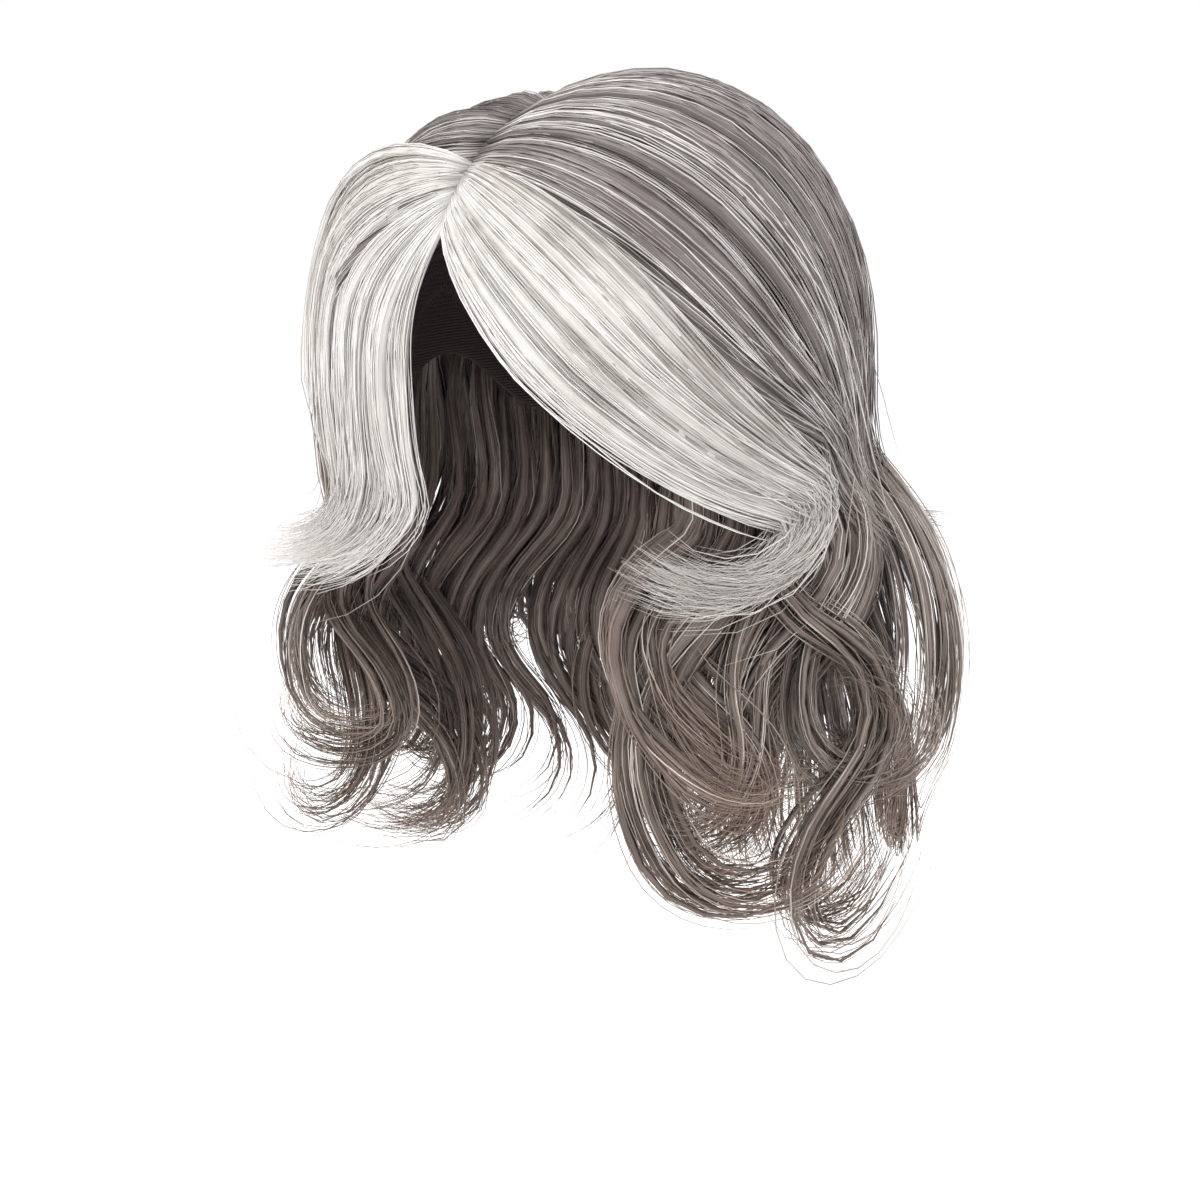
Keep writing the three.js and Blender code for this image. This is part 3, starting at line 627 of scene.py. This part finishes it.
SIDE_RIGHT = [
    {
        "number": None, "side": -1, "count": 4, "loose": 0.5, "spread": 0,
        "tone": (0.45, 0.4, 0.45, 0.45), "around": (66, 76, 80, 98), "up": (4, 4, 4, 0),
        "leave": (69, 71, 88, 74), "rise": (-41, -41, -41, -42), "sag": (0.8, -1.3, -2, 13),
        "lift": (1.1, 0.76, 1.09, 0.31), "hang": (0.82, 0.69, 0.74, 0.68),
        "swing": (44, 56, 47, 29), "waves": (1.14, 1.59, 0.76, 1.68),
        "phase": (92, 33, 192, -15), "plane": (110, 54, 110, 68),
        "flare": (7, 8, 24, 27), "drift": (15, 8, -2, -9),
        "hook": (123, -222, 80, -228), "from": (0.75, 0.58, 0.68, 0.72),
        "turn": (120, -39, 120, -32),
    },
]
dress("side_curls_left", "side_left", SIDE_LEFT, CURLS, 2,
      (dark_wisps, dark_strands))
dress("side_curls_right", "side_right", SIDE_RIGHT, CURLS, 3,
      (dark_wisps, dark_strands))

# Middle waves: shorter grey-brown fibre over the curls, from above the ears to the back.
# It is sewn to the cap in rows and set in loose waves.
brown_wisps = fibre(
    "brown_wisps", ((56, 47, 43), (122, 110, 104), (184, 173, 167), (114, 93, 81)),
    single=False)
brown_strands = fibre(
    "brown_strands", ((74, 64, 59), (152, 139, 132), (234, 227, 222), (154, 130, 113)),
    single=True)
MIDDLE_LEFT = [
    {
        "number": None, "side": 1, "count": 3, "loose": 0.5, "spread": 0,
        "tone": (0.5, 0.5, 0.55), "around": (96, 104, 112), "up": (10, 4, 14),
        "leave": (91, 96, 116), "rise": (-18, -19, -19), "sag": (13, -6, 13),
        "lift": (0.2, 0.22, 0.4), "hang": (0.71, 0.88, 0.76),
        "swing": (41, 76, 20), "waves": (0.98, 0.92, 0.83),
        "phase": (77, 85, 199), "plane": (54, 17, -25),
        "flare": (41, 19, 46), "drift": (-15, 14, -14),
        "hook": (93, 229, -122), "from": (0.7, 0.4, 0.76), "turn": (59, 33, 31),
    },
    {
        "number": 4, "side": 1, "count": 2, "loose": 0.8, "spread": 0.85, "tone": (0.5, 0.5),
        "around": (140, 172), "up": (11, 9),
        "leave": (142, 172), "rise": (-24, -24), "sag": (0, 0),
        "lift": (0.67, 0.68), "hang": (0.68, 0.68), "swing": (50, 46), "waves": (1.12, 1.1),
        "phase": (178, 170), "plane": (25, 30), "flare": (42, 34), "drift": (0, 0),
        "hook": (-150, 110), "from": (0.56, 0.55), "turn": (30, 50),
    },
]
MIDDLE_RIGHT = [
    {
        "number": None, "side": -1, "count": 1, "loose": 0.5, "spread": 0, "tone": (0.5,),
        "around": (92,), "up": (8,), "leave": (82,), "rise": (-37,), "sag": (-1,),
        "lift": (0.42,), "hang": (0.57,), "swing": (20,), "waves": (1.66,),
        "phase": (30,), "plane": (-52,), "flare": (54,), "drift": (-20,),
        "hook": (131,), "from": (0.71,), "turn": (-90,),
    },
    {
        "number": 5, "side": -1, "count": 4, "loose": 0.8, "spread": 0.85,
        "tone": (0.5, 0.5), "around": (96, 172), "up": (16, 9),
        "leave": (102, 172), "rise": (-24, -24), "sag": (0, 0),
        "lift": (0.66, 0.68), "hang": (0.64, 0.68), "swing": (52, 46), "waves": (1.1, 1.1),
        "phase": (60, 170), "plane": (30, 30), "flare": (42, 34), "drift": (0, 0),
        "hook": (150, 110), "from": (0.55, 0.55), "turn": (60, 50),
    },
]
dress("middle_waves_left", "middle_left", MIDDLE_LEFT, CURLS, 4,
      (brown_wisps, brown_strands))
dress("middle_waves_right", "middle_right", MIDDLE_RIGHT, CURLS, 5,
      (brown_wisps, brown_strands))

# Crown hair: straight grey fibre, the top layer. It is sewn on along the parting and round
# the crown, lies over the waves and curls and ends in small flicks.
grey_wisps = fibre(
    "grey_wisps", ((74, 66, 63), (116, 108, 105), (160, 153, 150), (98, 86, 80)),
    single=False)
grey_strands = fibre(
    "grey_strands", ((92, 83, 80), (148, 139, 136), (226, 222, 220), (126, 110, 101)),
    single=True)
SWEEP = {
    "wisps": 10, "strands": 16, "wide": 0.0068, "deep": 0.0022, "thick": 0.00055,
    "lock_wide": 0.0, "lock_deep": 0.0012, "wander": 0.0022, "layers": (-0.16, 0.02),
    "bends": np.linspace(0, 1, 20),
}
CROWN_HAIR = [
    {
        "number": 6, "side": 1, "count": 5, "loose": 0.5, "spread": 1,
        "tone": (0.95, 0.6, 0.42, 0.4), "along": (0.15, 1.0),
        "leave": (95, 140), "rise": (-22, -20), "sag": (3, -8),
        "lift": (0.98, 1.02), "hang": (0.24, 0.3), "swing": (10, 20), "waves": (0.6, 0.6),
        "phase": (0, 0), "plane": (40, 60), "flare": (10, 12), "drift": (6, 0),
        "hook": (50, 90), "from": (0.4, 0.4), "turn": (70, 85),
    },
    {
        "number": 7, "side": 1, "count": 2, "loose": 0.5, "spread": 1, "tone": (0.42, 0.42),
        "along": (1.02, 1.12), "leave": (152, 178), "rise": (-22, -22), "sag": (0, 0),
        "lift": (1.02, 1.02), "hang": (0.34, 0.36), "swing": (20, 25), "waves": (0.7, 0.7),
        "phase": (0, 20), "plane": (60, 60), "flare": (12, 10), "drift": (0, 0),
        "hook": (75, 60), "from": (0.5, 0.45), "turn": (80, 70),
    },
    {
        "number": 8, "side": -1, "count": 2, "loose": 0.5, "spread": 1, "tone": (0.42, 0.42),
        "along": (1.12, 1.02), "leave": (174, 152), "rise": (-22, -22), "sag": (0, 0),
        "lift": (1.02, 1.02), "hang": (0.36, 0.34), "swing": (25, 20), "waves": (0.7, 0.7),
        "phase": (20, 0), "plane": (60, 60), "flare": (10, 12), "drift": (0, 0),
        "hook": (60, 75), "from": (0.45, 0.5), "turn": (70, 80),
    },
    {
        "number": 9, "side": -1, "count": 4, "loose": 0.5, "spread": 1,
        "tone": (0.4, 0.45, 0.85), "along": (1.0, 0.18),
        "leave": (140, 86), "rise": (-20, -22), "sag": (-8, 0),
        "lift": (1.02, 0.96), "hang": (0.3, 0.26), "swing": (20, 10), "waves": (0.6, 0.6),
        "phase": (0, 0), "plane": (60, 40), "flare": (12, 10), "drift": (0, 2),
        "hook": (90, 90), "from": (0.45, 0.4), "turn": (85, 85),
    },
]
dress("crown_hair", "crown", CROWN_HAIR, SWEEP, 6,
      (grey_wisps, grey_strands), parts=2)

# Front locks: off-white fibre sewn on at the front of the parting. The broad one sweeps
# to the wearer's left and turns forward at the ear, the other flicks out by the face.
pale_wisps = fibre(
    "pale_wisps", ((170, 163, 158), (214, 209, 205), (232, 229, 226), (206, 200, 195)),
    single=False)
pale_strands = fibre(
    "pale_strands", ((160, 152, 147), (228, 224, 220), (247, 245, 243), (218, 212, 207)),
    single=True)
FRONT = {**SWEEP, "strands": 20, "wide": 0.0056, "deep": 0.002, "thick": 0.0006}
FRONT_LEFT = [
    {
        "number": None, "side": 1, "count": 3, "loose": 0.4, "spread": 1,
        "tone": (0.35, 0.7, 0.8), "along": (0.15, 0.04),
        "leave": (84, 76), "rise": (-30, -37), "sag": (2, 3.5),
        "lift": (1.26, 1.2), "hang": (0.4, 0.36), "swing": (0, 0), "waves": (0.6, 0.6),
        "phase": (0, 0), "plane": (0, 0), "flare": (6, 4), "drift": (-4, -6),
        "hook": (-126, -124), "from": (-0.1, -0.1), "turn": (5, 8),
    },
]
FRONT_RIGHT = [
    {
        "number": None, "side": -1, "count": 3, "loose": 0.4, "spread": 1,
        "tone": (0.45, 0.7, 0.8), "along": (0.14, 0.03),
        "leave": (57, 24), "rise": (-14, -32), "sag": (-14, -6.5),
        "lift": (1.05, 0.47), "hang": (0.35, 0.22), "swing": (0, 0), "waves": (0.6, 0.6),
        "phase": (0, 0), "plane": (0, 0), "flare": (-30, 10), "drift": (26, 14),
        "hook": (109, 91), "from": (0.38, 0.18), "turn": (100, 59),
    },
]
dress("front_lock_left", "front_left", FRONT_LEFT, FRONT, 7,
      (pale_wisps, pale_strands))
dress("front_lock_right", "front_right", FRONT_RIGHT, FRONT, 8,
      (pale_wisps, pale_strands))

# Floor: a plain white sheet under the wig, which hangs at the height of a head above it.
FLOOR_HEIGHT, FLOOR_RADIUS = -0.44, 60
bpy.ops.object.select_all(action="DESELECT")
bpy.ops.mesh.primitive_circle_add(
    vertices=96, radius=FLOOR_RADIUS, fill_type="NGON", location=(0, 0, FLOOR_HEIGHT))
floor = bpy.context.object
floor.name = "floor"
sheet, sheet_tree = new_material("floor_white")
sheet_shader = sheet_tree.nodes["Principled BSDF"]
sheet_shader.inputs["Base Color"].default_value = (1, 1, 1, 1)
sheet_shader.inputs["Roughness"].default_value = 0.9
floor.data.materials.append(sheet)

# Light: soft white from all round, a large lamp ahead of the wig and above it, and weaker
# ones on the wearer's left and behind.
LIGHT_MIDDLE = Vector((0, 0, -0.17))
LIGHTS = (  # name, degrees around and above, distance, power, size
    ("key", -10, 48, 1.9, 20, 1.2), ("fill", 95, 30, 2.0, 8, 1.4), ("back", 200, 50, 1.8, 10, 1.0),
)
world = bpy.data.worlds.new("soft_white")
world.use_nodes = True
world.node_tree.nodes["Background"].inputs["Color"].default_value = (1, 1, 1, 1)
world.node_tree.nodes["Background"].inputs["Strength"].default_value = 1.0
bpy.context.scene.world = world
bpy.context.scene.view_settings.view_transform = "Standard"
for name, around, above, away, power, size in LIGHTS:
    a, e = math.radians(around), math.radians(above)
    toward = Vector((math.sin(a) * math.cos(e), -math.cos(a) * math.cos(e), math.sin(e)))
    bpy.ops.object.light_add(type="AREA", location=LIGHT_MIDDLE + away * toward)
    light = bpy.context.object
    light.name = name + "_light"
    light.rotation_euler = toward.to_track_quat("Z", "Y").to_euler()
    light.data.energy = power
    light.data.size = size
